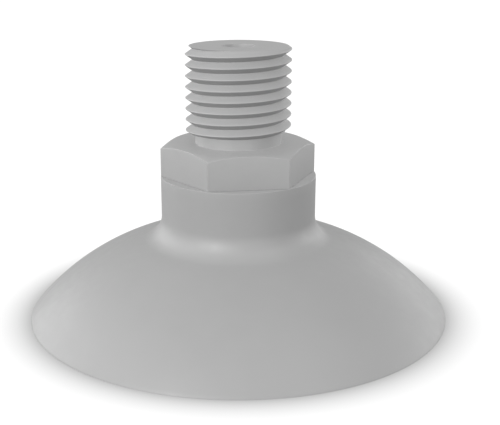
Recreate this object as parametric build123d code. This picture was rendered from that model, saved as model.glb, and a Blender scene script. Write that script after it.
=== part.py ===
from build123d import *

import os
from math import hypot, sqrt, tan, radians

# Vacuum suction cup with a male pipe-thread nipple. Millimetres, +Z up the cup's axis.
# The origin is the centre of the circle on which the lip seals, so the lip's edge is at z = 0.

# G1/4 parallel pipe thread, right-handed
THREAD_MAJOR_D = 13.157
THREAD_MINOR_D = 11.445
THREAD_PITCH = 1.337
THREAD_FLAT_SHARE = 1 / 16  # of the pitch, at the crest and at the root
GROOVE_START_Z = 22.305  # middle of the groove's root where it starts, on the +X side
GROOVE_RELIEF = 0.05  # how far the groove cutter stands out of the thread, short of the next turn
CUTTER_TURNS = 2
CUTTER_COUNT = 5

# heights above the lip
THREAD_TOP_Z = 33.95
THREAD_FOOT_Z = 23.45
HEX_TOP_Z = 22.0
HEX_FOOT_Z = 17.9
CEILING_Z = 7.8
CLEAT_FOOT_Z = 4.5

# nipple, below its thread
UNDERCUT_D = 10.8
HEX_FLATS = 17.0
HEX_TOP_D = 16.9  # level face inside the chamfer
HEX_CHAMFER_ANGLE = 24
STUD_D = 9.96
STUD_FOOT_Z = 11.7
STUD_CHAMFER = 0.5
PORT_D = 4.0

# rubber cup
CUP_D = 53.5
NECK_D = 19.6
NECK_EDGE_R = 0.15
DOME_ARC_R = 30.1
DOME_ARC_CENTRE_R = 3.8
NECK_FILLET_R = 3.2
LIP_EDGE_H = 0.1
LIP_WIDTH = 1.5
WALL_AT_NECK = 2.45
WALL_MEASURED_R = 11.0  # radius at which WALL_AT_NECK is taken
CLEAT_COUNT = 8
CLEAT_WIDTH = 1.4
CLEAT_INNER_R = 10.0

# metal insert bonded in the neck
INSERT_D = 15.2
INSERT_FLANGE_D = 17.6
INSERT_FLANGE_FOOT_Z = 9.1
INSERT_FLANGE_H = 1.6
INSERT_BOSS_D = 12.8
INSERT_BORE_D = 10.04
INSERT_BORE_FOOT_Z = 11.3
INSERT_PORT_D = 6.0
INSERT_CHAMFER = 0.3
BOND_GAP = 0.02  # between the rubber and the metal it is bonded to

# seal ring in the insert's counterbore, squeezed under the hexagon
SEAL_SEAT_D = 13.2
SEAL_SEAT_DEPTH = 1.15
SEAL_WIDTH = 1.5
SEAL_CORNER_R = 0.5
SEAL_GAP = 0.02

# filter screen and the ring that holds it, in the insert's lower recess
RECESS_D = 9.4
RECESS_TOP_Z = 10.5
SCREEN_D = 9.3
SCREEN_THICKNESS = 0.4
SCREEN_HOLE_D = 0.8
SCREEN_HOLE_PITCH = 1.15
SCREEN_HOLE_RINGS = 3
RING_D = 9.38
RING_BORE_D = 7.8
RING_H = 0.9
RING_SLOT = 1.2
RING_EDGE_R = 0.15


def turned(*outline):
    """Solid of revolution about Z of a closed outline drawn as (radius, height)."""
    return revolve(Plane.XZ * make_face(outline), Axis.Z)


def disc(diameter, low, high):
    """Plain cylinder on the axis between two heights."""
    return Pos(0, 0, low) * extrude(Circle(diameter / 2), high - low)


def arc_about(centre, start, end):
    """The short arc from start to end about centre, all as (radius, height)."""
    away = [start[i] + end[i] - 2 * centre[i] for i in (0, 1)]
    reach = hypot(start[0] - centre[0], start[1] - centre[1]) / hypot(*away)
    middle = (centre[0] + reach * away[0], centre[1] + reach * away[1])
    return ThreePointArc(start, middle, end)


def screw_curve(radius, height):
    """A few right-handed turns of the thread's pitch that start at this height on the +X side."""
    return Pos(0, 0, height) * Helix(THREAD_PITCH, CUTTER_TURNS * THREAD_PITCH, radius)


def groove_cutter(start_z):
    """A few turns of the V-shaped groove, from its root to a little outside the crests."""
    root_r = THREAD_MINOR_D / 2
    crest_r = THREAD_MAJOR_D / 2
    root_half = THREAD_PITCH * THREAD_FLAT_SHARE / 2
    crest_half = THREAD_PITCH * (1 - THREAD_FLAT_SHARE) / 2
    spread = (crest_half - root_half) / (crest_r - root_r)
    outer_r = crest_r + GROOVE_RELIEF
    outer_half = crest_half + spread * GROOVE_RELIEF
    corners = [
        (root_r, -root_half),
        (root_r, root_half),
        (outer_r, outer_half),
        (outer_r, -outer_half),
    ]
    curves = [screw_curve(radius, start_z + above) for radius, above in corners]
    sides = [Face.make_surface_from_curves(a, b) for a, b in zip(curves, curves[1:] + curves[:1])]
    ends = [make_face(Polyline(*[c @ end for c in curves], close=True)).face() for end in (0, 1)]
    return Solid(Shell(sides + ends))


def thread():
    """The threaded length, cut flat at both ends."""
    blank = disc(THREAD_MAJOR_D, THREAD_FOOT_Z, THREAD_TOP_Z)
    rise = CUTTER_TURNS * THREAD_PITCH
    return blank - [groove_cutter(GROOVE_START_Z + n * rise) for n in range(CUTTER_COUNT)]


def hexagon():
    """Hexagon with its flats facing front and back, its top corners turned to a chamfer."""
    prism = Pos(0, 0, HEX_FOOT_Z) * extrude(
        RegularPolygon(HEX_FLATS / 2, 6, major_radius=False), HEX_TOP_Z - HEX_FOOT_Z
    )
    top_r = HEX_TOP_D / 2
    outer_r = HEX_FLATS
    drop = (outer_r - top_r) * tan(radians(HEX_CHAMFER_ANGLE))
    envelope = turned(
        Polyline(
            (0, HEX_TOP_Z - drop),
            (outer_r, HEX_TOP_Z - drop),
            (top_r, HEX_TOP_Z),
            (0, HEX_TOP_Z),
            close=True,
        )
    )
    return prism & (envelope + disc(2 * outer_r, HEX_FOOT_Z - 1, HEX_TOP_Z - drop))


def threaded_nipple():
    """Turned metal nipple: thread, undercut, hexagon and the stud that goes into the neck."""
    stud_r = STUD_D / 2
    stud = turned(
        Polyline(
            (0, STUD_FOOT_Z),
            (stud_r - STUD_CHAMFER, STUD_FOOT_Z),
            (stud_r, STUD_FOOT_Z + STUD_CHAMFER),
            (stud_r, HEX_FOOT_Z),
            (0, HEX_FOOT_Z),
            close=True,
        )
    )
    body = thread() + disc(UNDERCUT_D, HEX_TOP_Z, THREAD_FOOT_Z) + hexagon() + stud
    return body - disc(PORT_D, STUD_FOOT_Z, THREAD_TOP_Z)


def insert_side(gap):
    """Outer side of the insert from foot to top as (radius, height), grown by a gap."""
    boss_r = INSERT_BOSS_D / 2 + gap
    flange_r = INSERT_FLANGE_D / 2 + gap
    body_r = INSERT_D / 2 + gap
    flange_foot = INSERT_FLANGE_FOOT_Z - gap
    flange_top = INSERT_FLANGE_FOOT_Z + INSERT_FLANGE_H + gap
    return [
        (boss_r, CEILING_Z),
        (boss_r, flange_foot),
        (flange_r - INSERT_CHAMFER, flange_foot),
        (flange_r, flange_foot + INSERT_CHAMFER),
        (flange_r, flange_top - INSERT_CHAMFER),
        (flange_r - INSERT_CHAMFER, flange_top),
        (body_r, flange_top),
        (body_r, HEX_FOOT_Z),
    ]


def neck_insert():
    """Flanged metal bush that the rubber is bonded to and the nipple screws into."""
    return turned(
        Polyline(
            *insert_side(0),
            (SEAL_SEAT_D / 2, HEX_FOOT_Z),
            (SEAL_SEAT_D / 2, HEX_FOOT_Z - SEAL_SEAT_DEPTH),
            (INSERT_BORE_D / 2, HEX_FOOT_Z - SEAL_SEAT_DEPTH),
            (INSERT_BORE_D / 2, INSERT_BORE_FOOT_Z),
            (INSERT_PORT_D / 2, INSERT_BORE_FOOT_Z),
            (INSERT_PORT_D / 2, RECESS_TOP_Z),
            (RECESS_D / 2, RECESS_TOP_Z),
            (RECESS_D / 2, CEILING_Z),
            close=True,
        )
    )


def seal_ring():
    """Rubber ring squeezed to a rounded oblong section between the insert and the hexagon."""
    inner_r = STUD_D / 2 + SEAL_GAP
    middle = (inner_r + SEAL_WIDTH / 2, HEX_FOOT_Z - SEAL_SEAT_DEPTH / 2)
    section = RectangleRounded(SEAL_WIDTH, SEAL_SEAT_DEPTH - SEAL_GAP, SEAL_CORNER_R)
    return revolve(Plane.XZ * Pos(*middle) * section, Axis.Z)


def filter_screen():
    """Thin perforated disc, its holes on hexagonal rings about the middle one."""
    top = RECESS_TOP_Z
    holes = HexLocations(SCREEN_HOLE_PITCH / 2, 2 * SCREEN_HOLE_RINGS + 1, 2 * SCREEN_HOLE_RINGS + 1)
    reach = (SCREEN_HOLE_RINGS + 0.2) * SCREEN_HOLE_PITCH
    kept = [place for place in holes if hypot(place.position.X, place.position.Y) < reach]
    sheet = Circle(SCREEN_D / 2) - [place * Circle(SCREEN_HOLE_D / 2) for place in kept]
    return Pos(0, 0, top - SCREEN_THICKNESS) * extrude(sheet, SCREEN_THICKNESS)


def screen_ring():
    """Split spring ring under the screen."""
    top = RECESS_TOP_Z - SCREEN_THICKNESS
    width = (RING_D - RING_BORE_D) / 2
    middle = (RING_BORE_D / 2 + width / 2, top - RING_H / 2)
    section = RectangleRounded(width, RING_H, RING_EDGE_R)
    ring = revolve(Plane.XZ * Pos(*middle) * section, Axis.Z)
    return ring - Pos(RING_D / 2, 0, top) * Box(RING_D / 2, RING_SLOT, 4 * RING_H)


def dome_centre():
    """Centre of the dome's outer arc, which ends at the top of the lip's edge."""
    across = CUP_D / 2 - DOME_ARC_CENTRE_R
    return (DOME_ARC_CENTRE_R, LIP_EDGE_H - sqrt(DOME_ARC_R**2 - across**2))


def dome_height(radius):
    """Height of the dome's outer face at this radius."""
    centre_r, centre_z = dome_centre()
    return centre_z + sqrt(DOME_ARC_R**2 - (radius - centre_r) ** 2)


def cup_body():
    """The cup's outer shape, solid right through, with the pocket for the insert."""
    centre = dome_centre()
    neck_r = NECK_D / 2
    neck_top = HEX_FOOT_Z - BOND_GAP
    fillet_r = neck_r + NECK_FILLET_R
    reach = DOME_ARC_R + NECK_FILLET_R
    fillet_z = centre[1] + sqrt(reach**2 - (fillet_r - centre[0]) ** 2)
    share = DOME_ARC_R / reach
    dome_start = tuple(c + share * (f - c) for c, f in zip(centre, (fillet_r, fillet_z)))
    rim = (CUP_D / 2, LIP_EDGE_H)
    edge_centre = (neck_r - NECK_EDGE_R, neck_top - NECK_EDGE_R)
    pocket = insert_side(BOND_GAP)
    pocket[-1] = (pocket[-1][0], neck_top)
    outline = [
        Polyline((pocket[0][0], 0), *pocket, (edge_centre[0], neck_top)),
        arc_about(edge_centre, (edge_centre[0], neck_top), (neck_r, edge_centre[1])),
        Line((neck_r, edge_centre[1]), (neck_r, fillet_z)),
        arc_about((fillet_r, fillet_z), (neck_r, fillet_z), dome_start),
        arc_about(centre, dome_start, rim),
        Polyline(rim, (CUP_D / 2, 0), (pocket[0][0], 0)),
    ]
    return turned(*outline)


def cup_cavity():
    """The hollow under the dome, less the cleats that stand in it."""
    centre_r = DOME_ARC_CENTRE_R
    lip_r = CUP_D / 2 - LIP_WIDTH
    near = (WALL_MEASURED_R, dome_height(WALL_MEASURED_R) - WALL_AT_NECK)
    lip_across = (lip_r - centre_r) ** 2
    near_across = (near[0] - centre_r) ** 2
    centre_z = (near_across + near[1] ** 2 - lip_across) / (2 * near[1])
    arc_r = sqrt(lip_across + centre_z**2)
    ceiling_r = centre_r + sqrt(arc_r**2 - (CEILING_Z - centre_z) ** 2)
    outline = [
        Polyline((lip_r, 0), (0, 0), (0, CEILING_Z), (ceiling_r, CEILING_Z)),
        arc_about((centre_r, centre_z), (ceiling_r, CEILING_Z), (lip_r, 0)),
    ]
    length = lip_r - CLEAT_INNER_R
    height = CEILING_Z
    blade = Pos(CLEAT_INNER_R + length / 2, 0, CLEAT_FOOT_Z + height / 2) * Box(length, CLEAT_WIDTH, height)
    cleats = [Rot(0, 0, 360 * (n + 0.5) / CLEAT_COUNT) * blade for n in range(CLEAT_COUNT)]
    return turned(*outline) - cleats


def rubber_cup():
    """Moulded rubber cup: neck, dome, lip and the cleats under the dome."""
    return cup_body() - cup_cavity()


NODES = {
    "threaded_nipple": threaded_nipple,
    "neck_insert": neck_insert,
    "seal_ring": seal_ring,
    "filter_screen": filter_screen,
    "screen_ring": screen_ring,
    "rubber_cup": rubber_cup,
}

os.makedirs("parts", exist_ok=True)
for node, make in NODES.items():
    export_step(make(), f"parts/{node}.step")
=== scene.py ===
import math

import bmesh
import bpy
import numpy as np
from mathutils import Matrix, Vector


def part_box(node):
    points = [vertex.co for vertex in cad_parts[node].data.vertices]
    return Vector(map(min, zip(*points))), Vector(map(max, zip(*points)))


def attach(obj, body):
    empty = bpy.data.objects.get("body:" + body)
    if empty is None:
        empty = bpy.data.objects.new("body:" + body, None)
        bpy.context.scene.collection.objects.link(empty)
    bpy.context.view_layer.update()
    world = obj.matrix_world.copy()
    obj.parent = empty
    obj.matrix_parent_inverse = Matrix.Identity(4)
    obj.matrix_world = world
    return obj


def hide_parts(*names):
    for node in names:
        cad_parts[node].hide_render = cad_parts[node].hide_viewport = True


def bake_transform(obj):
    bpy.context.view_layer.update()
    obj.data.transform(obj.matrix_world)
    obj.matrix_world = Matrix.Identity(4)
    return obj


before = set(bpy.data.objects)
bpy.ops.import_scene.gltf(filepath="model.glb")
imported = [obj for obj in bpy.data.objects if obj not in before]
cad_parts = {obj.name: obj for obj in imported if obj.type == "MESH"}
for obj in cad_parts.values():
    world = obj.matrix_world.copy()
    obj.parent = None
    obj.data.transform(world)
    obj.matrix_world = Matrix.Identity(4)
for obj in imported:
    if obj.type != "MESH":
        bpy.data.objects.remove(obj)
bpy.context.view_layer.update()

# Vacuum suction cup on a threaded nipple. Sizes are in millimetres, and meshes are made in metres.
# The origin is the middle of the sealing lip, in the plane of its edge. +Z runs up to the thread.
MM = 0.001
WELD = 2e-7  # metres: points closer than this are one point


def cad_size(node):
    """The lowest and highest corner of a CAD node, in millimetres."""
    low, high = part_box(node)
    return np.array(low) / MM, np.array(high) / MM


NIPPLE_LOW, NIPPLE_HIGH = cad_size("threaded_nipple")
CUP_HIGH = cad_size("rubber_cup")[1]
INSERT_LOW, INSERT_HIGH = cad_size("neck_insert")

# thread: G1/4 parallel pipe thread, right-hand, with a plain V-shaped groove
MAJOR_R = 13.157 / 2
MINOR_R = 11.445 / 2
PITCH = 1.337
FLAT_HALF = PITCH / 32
CREST_CROWN = 0.02
GROOVE_START = 22.305
THREAD_TOP = NIPPLE_HIGH[2]
THREAD_FOOT = 23.45
TURNS = 10
TOP_FACE_RINGS = 3.6, 5.0

# nipple
HEX_TOP = 22.0
HEX_TOP_R = 8.45
HEX_FOOT = INSERT_HIGH[2]
HEX_APOTHEM = NIPPLE_HIGH[1]
HEX_CORNER_R = 0.06
HEX_SLOPE = math.tan(math.radians(24))
EDGE = 0.04
UNDERCUT_R = 5.4
UNDERCUT_FILLET = 0.05
PORT_R = 2.0
STUD_R = 4.98
STUD_FOOT = NIPPLE_LOW[2]
STUD_CHAMFER = 0.5

# rubber cup, outside
CUP_R = CUP_HIGH[0]
NECK_R = 9.8
NECK_TOP = CUP_HIGH[2]
NECK_EDGE = 0.08
FILLET_R = 3.2
DOME_R = 30.1
DOME_CENTRE_R = 3.8
LIP_EDGE = 0.1
LIP_WIDTH = 1.5
RIM_LOW = 0.02
FILLET_STEPS = 18
DOME_STEPS = 44

# rubber cup, hollow and cleats
CEILING = INSERT_LOW[2]
CLEAT_FOOT = 4.5
CLEAT_COUNT = 8
CLEAT_HALF = 0.7
CLEAT_DRAFT = 0.12
CLEAT_INNER_R = 10.0
CLEAT_APPROACH = 0.2
WALL_AT_NECK = 2.45
WALL_R = 11.0
HOLLOW_STEPS = 40
HOLLOW_ROW_GAP = 0.05

# pocket in the neck that holds the insert: its mouth, the insert's flange and the bore above it
POCKET_MOUTH_R = 6.42
POCKET_FLANGE_R = 8.82
POCKET_BORE_R = 7.62
FLANGE_LOW = 9.08
FLANGE_HIGH = 10.72

# surfaces: sizes of their clouds and grain, depth of their relief, and range of their roughness
RUBBER_CLOUDS = 6.0
RUBBER_GLOSS_CLOUDS = 1.5
RUBBER_RIPPLE = 2.2
RUBBER_GRAIN = 0.12
RUBBER_DEPTH = 0.004
RUBBER_ROUGH = 0.45, 0.55
METAL_CLOUDS = 3.0
METAL_RING = 0.09
METAL_GRAIN = 0.07
METAL_DEPTH = 0.0016
METAL_ROUGH = 0.42, 0.52
FLOOR_CLOUDS = 60.0
FLOOR_ROUGH = 0.9

# floor: widths of the painted shadow round the lip and of the deeper painted shadow just inside it
FLOOR_RINGS = 0, 30, 60, 120, 400, 1500, 5000, 12000
PAINTED_SHADOW_WIDTH = 10.0
PAINTED_SHADOW_POWER = 3.4
UNDER_LIP_PAINTED_SHADOW_WIDTH = 5.0
UNDER_LIP_PAINTED_SHADOW_SHARE = 0.25
FLOOR_LIGHT = 0.87
FLOOR_PAINTED_SHADOW = 0.43

# lights: azimuth and elevation in degrees, and watts. Azimuth 0 is in front, on the -Y side, and 90
# is to the right.
LIGHTS = {
    "key_light": (-45, 30, 1208),
    "high_right_light": (45, 50, 302),
    "left_light": (-105, 30, 359),
    "front_light": (15, 10, 252),
    "right_light": (105, 10, 398),
    "back_left_light": (-135, 10, 372),
    "back_right_light": (135, 10, 220),
}
LIGHT_DISTANCE = 12000
LIGHT_SIZE = 6600
LIGHT_AIM = 15
WORLD_STRENGTH = 0.474


# ---------------------------------------------------------------- meshes

def grid_faces(rows, columns):
    """The quads of a grid whose points are numbered row by row."""
    corner = np.arange(rows - 1)[:, None] * columns + np.arange(columns - 1)
    corner = corner.ravel()
    return np.stack([corner, corner + 1, corner + columns + 1, corner + columns], axis=1)


def skin(name, grid, sharp_degrees=32):
    """Object from a closed grid of points (rows, columns, 3) in millimetres.

    Points that coincide are welded, which closes seams and poles, faces are turned outwards, and
    edges that turn by more than sharp_degrees are left sharp."""
    mesh = bpy.data.meshes.new(name)
    faces = grid_faces(*grid.shape[:2])
    mesh.from_pydata((grid.reshape(-1, 3) * MM).tolist(), [], faces.tolist())
    shape = bmesh.new()
    shape.from_mesh(mesh)
    bmesh.ops.remove_doubles(shape, verts=shape.verts, dist=WELD)
    bmesh.ops.dissolve_degenerate(shape, edges=shape.edges, dist=WELD)
    bmesh.ops.recalc_face_normals(shape, faces=shape.faces)
    for face in shape.faces:
        face.smooth = True
    limit = math.radians(sharp_degrees)
    for edge in shape.edges:
        edge.smooth = edge.calc_face_angle(0.0) < limit
    shape.to_mesh(mesh)
    shape.free()
    thing = bpy.data.objects.new(name, mesh)
    bpy.context.scene.collection.objects.link(thing)
    return thing


def around(radius, height, angle):
    """Points at these radii, heights and angles, which are broadcast together."""
    radius, height, angle = np.broadcast_arrays(radius, height, angle)
    return np.stack([radius * np.cos(angle), radius * np.sin(angle), height], axis=-1)


def eased(start, corner, end, steps=4):
    """Rows of a rounded corner: a quadratic curve from start to end that leans on the corner.

    Each point is (radius, height), where either may be an array over the angles."""
    rows = []
    for t in np.linspace(0, 1, steps + 1):
        weights = (1 - t) ** 2, 2 * t * (1 - t), t * t
        rows.append([weights[0] * a + weights[1] * b + weights[2] * c
                     for a, b, c in zip(start, corner, end)])
    return rows


def stacked(rows, angle):
    """Grid from rows of (radius, height), each a number or an array over the angles."""
    radius, height = (
        np.stack([np.broadcast_to(np.asarray(row[part], float), angle.shape) for row in rows])
        for part in (0, 1)
    )
    return around(radius, height, angle[None, :])


def arc_rows(centre, start, end, steps):
    """Rows along an arc about centre between two points, all as (radius, height)."""
    first = math.atan2(start[1] - centre[1], start[0] - centre[0])
    last = math.atan2(end[1] - centre[1], end[0] - centre[0])
    reach = math.hypot(start[0] - centre[0], start[1] - centre[1])
    turn = np.linspace(first, last, steps + 1)
    return [(centre[0] + reach * math.cos(t), centre[1] + reach * math.sin(t)) for t in turn]


# ---------------------------------------------------------------- nipple

def thread_radius(height, angle):
    """Radius of the thread's face.

    The distance from the middle of the groove is the height, less the rise of the helix at this
    angle, folded into half a pitch. The flanks are straight between a narrow flat at the root and
    a crest of the same width, which is crowned by a parabola."""
    rise = GROOVE_START + PITCH * angle / (2 * math.pi)
    across = np.abs((height - rise + PITCH / 2) % PITCH - PITCH / 2)
    share = (across - FLAT_HALF) / (PITCH / 2 - 2 * FLAT_HALF)
    flank = MINOR_R + (MAJOR_R - CREST_CROWN - MINOR_R) * np.clip(share, 0, 1)
    beyond = np.minimum((PITCH / 2 - across) / FLAT_HALF, 1)
    return flank + CREST_CROWN * (1 - beyond**2)


def thread_rows(angle):
    """Rows of the thread from its foot to its top.

    They are lines that follow the helix, cut off level at both ends."""
    flat = FLAT_HALF * np.linspace(-1, 1, 5)
    flank = np.linspace(FLAT_HALF, PITCH / 2 - FLAT_HALF, 5)[1:-1]
    turn = np.concatenate([flat[::4], flank, PITCH / 2 + flat, PITCH - flank[::-1]])
    start = GROOVE_START - PITCH + PITCH * np.arange(TURNS + 1)[:, None] + turn[None, :]
    height = start.ravel()[:, None] + PITCH * angle[None, :] / (2 * math.pi)
    height = np.clip(height, THREAD_FOOT, THREAD_TOP)
    radius = thread_radius(height, angle[None, :])
    return [(radius[n], height[n]) for n in range(len(height))]


def hexagon_radius(angle):
    """Distance from the axis to the hexagon's side at each angle, its corners rounded by an arc.

    The angle is folded to within 30 degrees of the middle of a flat that faces +Y."""
    folded = (angle - math.pi / 2 + math.pi / 6) % (math.pi / 3) - math.pi / 6
    flat = HEX_APOTHEM / np.cos(folded)
    centre = (HEX_APOTHEM - HEX_CORNER_R) / math.cos(math.pi / 6)
    from_corner = math.pi / 6 - np.abs(folded)
    inside = np.maximum(HEX_CORNER_R**2 - (centre * np.sin(from_corner)) ** 2, 0)
    corner = centre * np.cos(from_corner) + np.sqrt(inside)
    touch = math.atan2(HEX_CORNER_R / 2, HEX_APOTHEM / math.cos(math.pi / 6))
    return np.where(from_corner < touch, np.minimum(corner, flat), flat)


def hexagon_top(radius):
    """Height of the hexagon's top at this radius: level, then falling as a cone."""
    return HEX_TOP - np.maximum(radius - HEX_TOP_R, 0) * HEX_SLOPE


def nipple_rows(angle):
    """Rows of the whole nipple, from the port's foot up through it and down the outside."""
    side = hexagon_radius(angle)
    inner = side - EDGE
    top_edge = (
        (inner, hexagon_top(inner)),
        (side, hexagon_top(side)),
        (side, hexagon_top(side) - EDGE),
    )
    foot_edge = (side, HEX_FOOT + EDGE), (side, HEX_FOOT), (side - EDGE, HEX_FOOT)
    mouth = (PORT_R, THREAD_TOP - EDGE), (PORT_R, THREAD_TOP), (PORT_R + EDGE, THREAD_TOP)
    fillet = (
        (UNDERCUT_R, HEX_TOP + UNDERCUT_FILLET),
        (UNDERCUT_R, HEX_TOP),
        (UNDERCUT_R + UNDERCUT_FILLET, HEX_TOP),
    )
    port = [(PORT_R, STUD_FOOT), *eased(*mouth)]
    face = [(radius, THREAD_TOP) for radius in TOP_FACE_RINGS]
    thread = thread_rows(angle)[::-1]
    waist = [(UNDERCUT_R, THREAD_FOOT), *eased(*fillet), (HEX_TOP_R, HEX_TOP)]
    hexagon = [*eased(*top_edge), *eased(*foot_edge)]
    stud = [
        (STUD_R, HEX_FOOT),
        (STUD_R, STUD_FOOT + STUD_CHAMFER),
        (STUD_R - STUD_CHAMFER, STUD_FOOT),
        (PORT_R, STUD_FOOT),
    ]
    return port + face + thread + waist + hexagon + stud


def nipple_angles(steps=36):
    """Angles once round, drawn closer together towards each corner of the hexagon."""
    spread = np.sin(np.linspace(-math.pi / 2, math.pi / 2, steps + 1))[:-1] * math.pi / 6
    middles = math.pi / 6 + np.arange(6) * math.pi / 3
    ring = (middles[:, None] + spread[None, :]).ravel()
    return np.append(ring, ring[0] + 2 * math.pi)


def make_nipple():
    """The turned metal nipple: thread, undercut, hexagon, stud and port in one skin."""
    angle = nipple_angles()
    return skin("nipple_body", stacked(nipple_rows(angle), angle))


# ---------------------------------------------------------------- rubber cup

DOME_CENTRE = (DOME_CENTRE_R, LIP_EDGE - math.sqrt(DOME_R**2 - (CUP_R - DOME_CENTRE_R) ** 2))


def dome_top(radius):
    """Height of the dome's outer face at this radius."""
    return DOME_CENTRE[1] + math.sqrt(DOME_R**2 - (radius - DOME_CENTRE_R) ** 2)


def cup_outside():
    """Rows from the neck's top edge down the neck, fillet and dome to the lip's inner edge."""
    fillet_r = NECK_R + FILLET_R
    reach = DOME_R + FILLET_R
    fillet_z = DOME_CENTRE[1] + math.sqrt(reach**2 - (fillet_r - DOME_CENTRE_R) ** 2)
    share = DOME_R / reach
    foot = (
        DOME_CENTRE[0] + share * (fillet_r - DOME_CENTRE[0]),
        DOME_CENTRE[1] + share * (fillet_z - DOME_CENTRE[1]),
    )
    edge = (NECK_R - NECK_EDGE, NECK_TOP), (NECK_R, NECK_TOP), (NECK_R, NECK_TOP - NECK_EDGE)
    neck = [(NECK_R, height) for height in np.linspace(NECK_TOP - NECK_EDGE, fillet_z, 6)[1:-1]]
    # the fillet starts a hair under its centre's level, so that its arc turns the short way
    fillet = arc_rows((fillet_r, fillet_z), (NECK_R, fillet_z - 1e-9), foot, FILLET_STEPS)
    dome = arc_rows(DOME_CENTRE, foot, (CUP_R, LIP_EDGE), DOME_STEPS)[1:-1]
    lip_r = CUP_R - LIP_EDGE
    rim_top = dome[-1], (CUP_R, LIP_EDGE), (CUP_R, RIM_LOW)
    rim_foot = (CUP_R, RIM_LOW), (CUP_R, 0), (lip_r, 0)
    lip = [(radius, 0) for radius in np.linspace(lip_r, CUP_R - LIP_WIDTH, 4)[1:]]
    rim = [*eased(*rim_top)[:-1], *eased(*rim_foot)]
    return [*eased(*edge), *neck, *fillet, *dome[:-1], *rim, *lip]


def hollow_arc():
    """Centre and radius of the hollow's arc, and where it meets the ceiling, as a radius."""
    near_z = dome_top(WALL_R) - WALL_AT_NECK
    lip_across = (CUP_R - LIP_WIDTH - DOME_CENTRE_R) ** 2
    centre_z = ((WALL_R - DOME_CENTRE_R) ** 2 + near_z**2 - lip_across) / (2 * near_z)
    reach = math.sqrt(lip_across + centre_z**2)
    ceiling_r = DOME_CENTRE_R + math.sqrt(reach**2 - (CEILING - centre_z) ** 2)
    return (DOME_CENTRE_R, centre_z), reach, ceiling_r


def hollow_rows():
    """Rows of the hollow from the lip's inner edge to the ceiling.

    They stand close together across the drafted inner end of the cleats."""
    centre, reach, ceiling_r = hollow_arc()
    rows = arc_rows(centre, (CUP_R - LIP_WIDTH, 0), (ceiling_r, CEILING), HOLLOW_STEPS)[1:]
    near_end = CLEAT_INNER_R + 2 * CLEAT_DRAFT
    rows = [row for row in rows if row[0] > near_end + HOLLOW_ROW_GAP]
    end = [near_end, near_end - CLEAT_DRAFT / 2, near_end - CLEAT_DRAFT]
    end += [CLEAT_INNER_R + CLEAT_DRAFT / 2, CLEAT_INNER_R, CLEAT_INNER_R - CLEAT_APPROACH]
    rows += [(r, centre[1] + math.sqrt(reach**2 - (r - centre[0]) ** 2)) for r in end]
    return [*rows, (ceiling_r, CEILING)]


def smooth_step(value):
    """0 below 0, 1 above 1, and a smooth rise between."""
    value = np.clip(value, 0, 1)
    return value * value * (3 - 2 * value)


def cup_angles(radius, steps=10):
    """Angles once round at this radius, with lines along both sides of each cleat.

    In each sector the lines stand at the cleat's middle, then close together across the drafted
    side of the cleat, which is as far from its middle line at every radius, then evenly spaced."""
    sides = np.array([-1, -0.5, 0, 0.5, 1]) * CLEAT_DRAFT + CLEAT_HALF
    across = np.arcsin(sides / max(radius, CLEAT_INNER_R - 1))
    half_sector = math.pi / CLEAT_COUNT
    rest = np.linspace(across[-1], half_sector, steps + 1)[1:]
    half = np.concatenate([[0, across[0] / 2], across, rest])
    whole = np.concatenate([-half[:0:-1], half])[:-1]
    middles = (np.arange(CLEAT_COUNT) + 0.5) * 2 * half_sector
    ring = (middles[:, None] + whole[None, :]).ravel()
    return np.append(ring, ring[0] + 2 * math.pi)


def cleat_share(radius, angle):
    """1 on a cleat and 0 off it, with drafted sides and a drafted inner end."""
    sector = 2 * math.pi / CLEAT_COUNT
    folded = angle % sector - sector / 2
    aside = np.abs(radius * np.sin(folded))
    side = smooth_step((CLEAT_HALF + CLEAT_DRAFT - aside) / (2 * CLEAT_DRAFT))
    end = smooth_step((radius - CLEAT_INNER_R) / (2 * CLEAT_DRAFT))
    return side * end


def make_cup():
    """The moulded cup as one closed skin: outside, lip, hollow with cleats, and insert's pocket.

    Each row is a level ring, except in the hollow, where the face drops to the cleats' foot."""
    pocket = [
        (POCKET_MOUTH_R, CEILING),
        (POCKET_MOUTH_R, FLANGE_LOW),
        (POCKET_FLANGE_R, FLANGE_LOW),
        (POCKET_FLANGE_R, FLANGE_HIGH),
        (POCKET_BORE_R, FLANGE_HIGH),
        (POCKET_BORE_R, NECK_TOP),
    ]
    outside = cup_outside()
    hollow = hollow_rows()
    rows = outside + hollow + pocket + outside[:1]
    grid = []
    for n, (radius, height) in enumerate(rows):
        angle = cup_angles(radius)
        level = np.full(angle.shape, float(height))
        if len(outside) <= n < len(outside) + len(hollow):
            level -= np.maximum(level - CLEAT_FOOT, 0) * cleat_share(radius, angle)
        grid.append(around(float(radius), level, angle))
    return skin("cup_moulding", np.stack(grid), sharp_degrees=40)


# ---------------------------------------------------------------- materials

def new_material(name):
    """Empty node material, with its node tree and its shader."""
    material = bpy.data.materials.new(name)
    material.use_nodes = True
    tree = material.node_tree
    tree.nodes.clear()
    out = tree.nodes.new("ShaderNodeOutputMaterial")
    shader = tree.nodes.new("ShaderNodeBsdfPrincipled")
    tree.links.new(shader.outputs["BSDF"], out.inputs["Surface"])
    return material, tree, shader


def place(tree):
    """Object coordinates, in metres."""
    return tree.nodes.new("ShaderNodeTexCoord").outputs["Object"]


def noise(tree, vector, grain_mm, detail=3.0, roughness=0.55):
    """Noise whose lumps are about grain_mm across, from 0 to 1."""
    node = tree.nodes.new("ShaderNodeTexNoise")
    node.inputs["Scale"].default_value = 1 / (grain_mm * MM)
    node.inputs["Detail"].default_value = detail
    node.inputs["Roughness"].default_value = roughness
    tree.links.new(vector, node.inputs["Vector"])
    return node.outputs["Fac"]


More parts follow.
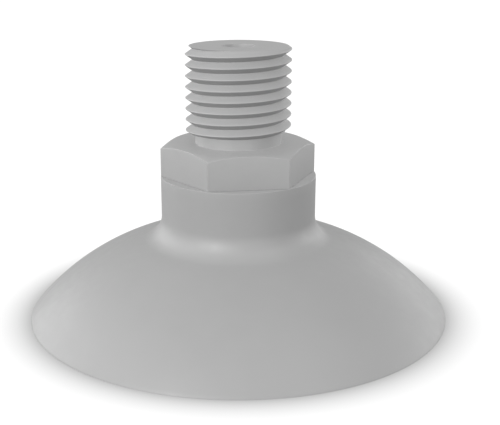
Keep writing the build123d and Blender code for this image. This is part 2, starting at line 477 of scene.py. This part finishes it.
def span(tree, value, low, high, from_low=0.3, from_high=0.7):
    """value carried from one range to another."""
    node = tree.nodes.new("ShaderNodeMapRange")
    node.inputs["From Min"].default_value = from_low
    node.inputs["From Max"].default_value = from_high
    node.inputs["To Min"].default_value = low
    node.inputs["To Max"].default_value = high
    tree.links.new(value, node.inputs["Value"])
    return node.outputs["Result"]


def power(tree, value, exponent):
    """value raised to a power."""
    node = tree.nodes.new("ShaderNodeMath")
    node.operation = "POWER"
    node.inputs[1].default_value = exponent
    tree.links.new(value, node.inputs[0])
    return node.outputs["Value"]


def distance_from_axis(tree, spot):
    """Distance of the point spot from the axis, in metres."""
    flat = tree.nodes.new("ShaderNodeVectorMath")
    flat.operation = "MULTIPLY"
    flat.inputs[1].default_value = (1, 1, 0)
    tree.links.new(spot, flat.inputs[0])
    reach = tree.nodes.new("ShaderNodeVectorMath")
    reach.operation = "LENGTH"
    tree.links.new(flat.outputs["Vector"], reach.inputs[0])
    return reach.outputs["Value"]


def grey(value):
    """A neutral colour."""
    return (value, value, value)


def two_colours(tree, value, dark, light):
    """Colour between two colours by value."""
    node = tree.nodes.new("ShaderNodeMix")
    node.data_type = "RGBA"
    node.inputs["A"].default_value = (*dark, 1)
    node.inputs["B"].default_value = (*light, 1)
    tree.links.new(value, node.inputs["Factor"])
    return node.outputs["Result"]


def bump(tree, height, depth_mm, normal=None):
    """Normal from a height between 0 and 1 that stands for depth_mm."""
    node = tree.nodes.new("ShaderNodeBump")
    node.inputs["Strength"].default_value = 1.0
    node.inputs["Distance"].default_value = depth_mm * MM
    tree.links.new(height, node.inputs["Height"])
    if normal is not None:
        tree.links.new(normal, node.inputs["Normal"])
    return node.outputs["Normal"]


def rubber(name, dark, light):
    """Moulded rubber: faint clouds of colour, a fine matte grain and slightly uneven gloss."""
    material, tree, shader = new_material(name)
    spot = place(tree)
    clouds = noise(tree, spot, RUBBER_CLOUDS, 4.0)
    grain = noise(tree, spot, RUBBER_GRAIN, 2.0)
    ripple = noise(tree, spot, RUBBER_RIPPLE, 2.0)
    gloss = span(tree, noise(tree, spot, RUBBER_GLOSS_CLOUDS), *RUBBER_ROUGH)
    tree.links.new(two_colours(tree, clouds, dark, light), shader.inputs["Base Color"])
    tree.links.new(gloss, shader.inputs["Roughness"])
    fine = bump(tree, grain, RUBBER_DEPTH)
    tree.links.new(bump(tree, ripple, RUBBER_DEPTH * 3, fine), shader.inputs["Normal"])
    return material


def turned_metal(name, dark, light, rough=METAL_ROUGH, metal=1.0):
    """Turned metal: fine rings about the axis, by radius and height, over a faint blasted grain."""
    material, tree, shader = new_material(name)
    spot = place(tree)
    parts = tree.nodes.new("ShaderNodeSeparateXYZ")
    tree.links.new(spot, parts.inputs["Vector"])
    lathe = tree.nodes.new("ShaderNodeCombineXYZ")
    tree.links.new(distance_from_axis(tree, spot), lathe.inputs["X"])
    tree.links.new(parts.outputs["Z"], lathe.inputs["Z"])
    rings = noise(tree, lathe.outputs["Vector"], METAL_RING, 2.0, 0.6)
    grain = noise(tree, spot, METAL_GRAIN, 2.0)
    clouds = noise(tree, spot, METAL_CLOUDS)
    tree.links.new(two_colours(tree, clouds, dark, light), shader.inputs["Base Color"])
    tree.links.new(span(tree, rings, *rough), shader.inputs["Roughness"])
    fine = bump(tree, grain, METAL_DEPTH)
    tree.links.new(bump(tree, rings, METAL_DEPTH, fine), shader.inputs["Normal"])
    shader.inputs["Metallic"].default_value = metal
    return material


def floor_paint_with_painted_shadow():
    """White paint with a painted shadow: greyer close round the lip, and darker still under it.

    Outside the lip the painted shadow falls off as a power of the distance from the lip's edge."""
    material, tree, shader = new_material("floor_paint_with_painted_shadow")
    spot = place(tree)
    reach = distance_from_axis(tree, spot)
    # painted shadow: the floor's colour turns grey towards the lip's edge, in place of a contact
    # shadow that the shadowless lights don't cast
    near = span(tree, reach, 1, 0, CUP_R * MM, (CUP_R + PAINTED_SHADOW_WIDTH) * MM)
    # painted shadow: under the lip the floor's colour is scaled down further, in place of the shade
    # beneath a raised lip
    under = span(tree, reach, UNDER_LIP_PAINTED_SHADOW_SHARE, 1, (CUP_R - UNDER_LIP_PAINTED_SHADOW_WIDTH) * MM, CUP_R * MM)
    fall = power(tree, near, PAINTED_SHADOW_POWER)
    shade = two_colours(tree, fall, grey(FLOOR_LIGHT), grey(FLOOR_PAINTED_SHADOW))
    mottle = two_colours(tree, noise(tree, spot, FLOOR_CLOUDS), grey(0.98), grey(1))
    both = tree.nodes.new("ShaderNodeVectorMath")
    both.operation = "MULTIPLY"
    tree.links.new(shade, both.inputs[0])
    tree.links.new(mottle, both.inputs[1])
    dimmed = tree.nodes.new("ShaderNodeVectorMath")
    dimmed.operation = "SCALE"
    tree.links.new(both.outputs["Vector"], dimmed.inputs[0])
    tree.links.new(under, dimmed.inputs["Scale"])
    tree.links.new(dimmed.outputs["Vector"], shader.inputs["Base Color"])
    shader.inputs["Roughness"].default_value = FLOOR_ROUGH
    shader.inputs["Specular IOR Level"].default_value = 0.0
    return material


def dress(thing, material):
    """Gives an object one material, on a CAD node by its own slots."""
    if not thing.material_slots:
        thing.data.materials.append(material)
    for slot in thing.material_slots:
        slot.material = material


# ---------------------------------------------------------------- pieces

satin = turned_metal("satin_nipple_metal", grey(0.315), grey(0.341), rough=(0.48, 0.56), metal=0.15)
nipple = make_nipple()
dress(nipple, satin)
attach(nipple, "fitting")
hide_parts("threaded_nipple")

cup = make_cup()
dress(cup, rubber("grey_cup_rubber", grey(0.272), grey(0.288)))
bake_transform(cup)
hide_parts("rubber_cup")

insert_metal = turned_metal("insert_metal", (0.43, 0.43, 0.44), (0.48, 0.48, 0.49))
spring_steel = turned_metal("spring_steel", (0.38, 0.38, 0.39), (0.44, 0.44, 0.45))
dress(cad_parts["neck_insert"], insert_metal)
dress(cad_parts["seal_ring"], rubber("black_seal_rubber", grey(0.02), grey(0.03)))
dress(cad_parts["filter_screen"], turned_metal("screen_steel", grey(0.46), grey(0.54)))
dress(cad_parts["screen_ring"], spring_steel)


# ---------------------------------------------------------------- stage, light and camera

def make_floor(steps=48):
    """Level round floor through the lip's plane, as rings from its middle out."""
    angle = np.linspace(0, 2 * math.pi, steps + 1)
    floor = skin("floor", stacked([(radius, 0.0) for radius in FLOOR_RINGS], angle))
    dress(floor, floor_paint_with_painted_shadow())
    floor.visible_diffuse = False
    floor.visible_glossy = False


def place_facing(thing, azimuth, elevation, distance_mm, aim_mm):
    """Puts a light or a camera at a distance from a point on the axis, and turns it to face it.

    Azimuth 0 is in front, on the -Y side, and 90 is to the right."""
    turn, rise = math.radians(azimuth), math.radians(elevation)
    level = math.cos(rise)
    away = Vector((math.sin(turn) * level, -math.cos(turn) * level, math.sin(rise)))
    thing.location = Vector((0, 0, aim_mm * MM)) + away * distance_mm * MM
    thing.rotation_mode = "QUATERNION"
    thing.rotation_quaternion = (-away).to_track_quat("-Z", "Y")
    bpy.context.scene.collection.objects.link(thing)


def make_light(name, azimuth, elevation, watts):
    """Soft round light without hard shadows that faces the cup's middle."""
    lamp = bpy.data.lights.new(name, "AREA")
    lamp.shape = "DISK"
    lamp.size = LIGHT_SIZE * MM
    lamp.energy = watts
    lamp.use_shadow = False
    thing = bpy.data.objects.new(name, lamp)
    place_facing(thing, azimuth, elevation, LIGHT_DISTANCE, LIGHT_AIM)


def make_world():
    """Even white surroundings."""
    world = bpy.data.worlds.new("studio")
    world.use_nodes = True
    background = world.node_tree.nodes["Background"]
    background.inputs["Color"].default_value = (1, 1, 1, 1)
    background.inputs["Strength"].default_value = WORLD_STRENGTH
    bpy.context.scene.world = world


def make_camera(azimuth, elevation, distance_mm, aim_mm, lens, shift):
    """Camera that looks at a point on the axis, from the front and a little above."""
    view = bpy.data.cameras.new("camera")
    view.lens = lens
    view.sensor_width = 36
    view.shift_x, view.shift_y = shift
    view.clip_start, view.clip_end = 0.005, 50
    thing = bpy.data.objects.new("camera", view)
    place_facing(thing, azimuth, elevation, distance_mm, aim_mm)
    bpy.context.scene.camera = thing


make_floor()
make_world()
for light_name, light in LIGHTS.items():
    make_light(light_name, *light)
make_camera(
    azimuth=-8.3,
    elevation=16.24,
    distance_mm=122.56,
    aim_mm=13.155,
    lens=68.86,
    shift=(0.0232, -0.0066),
)
bpy.context.scene.view_settings.view_transform = "Standard"
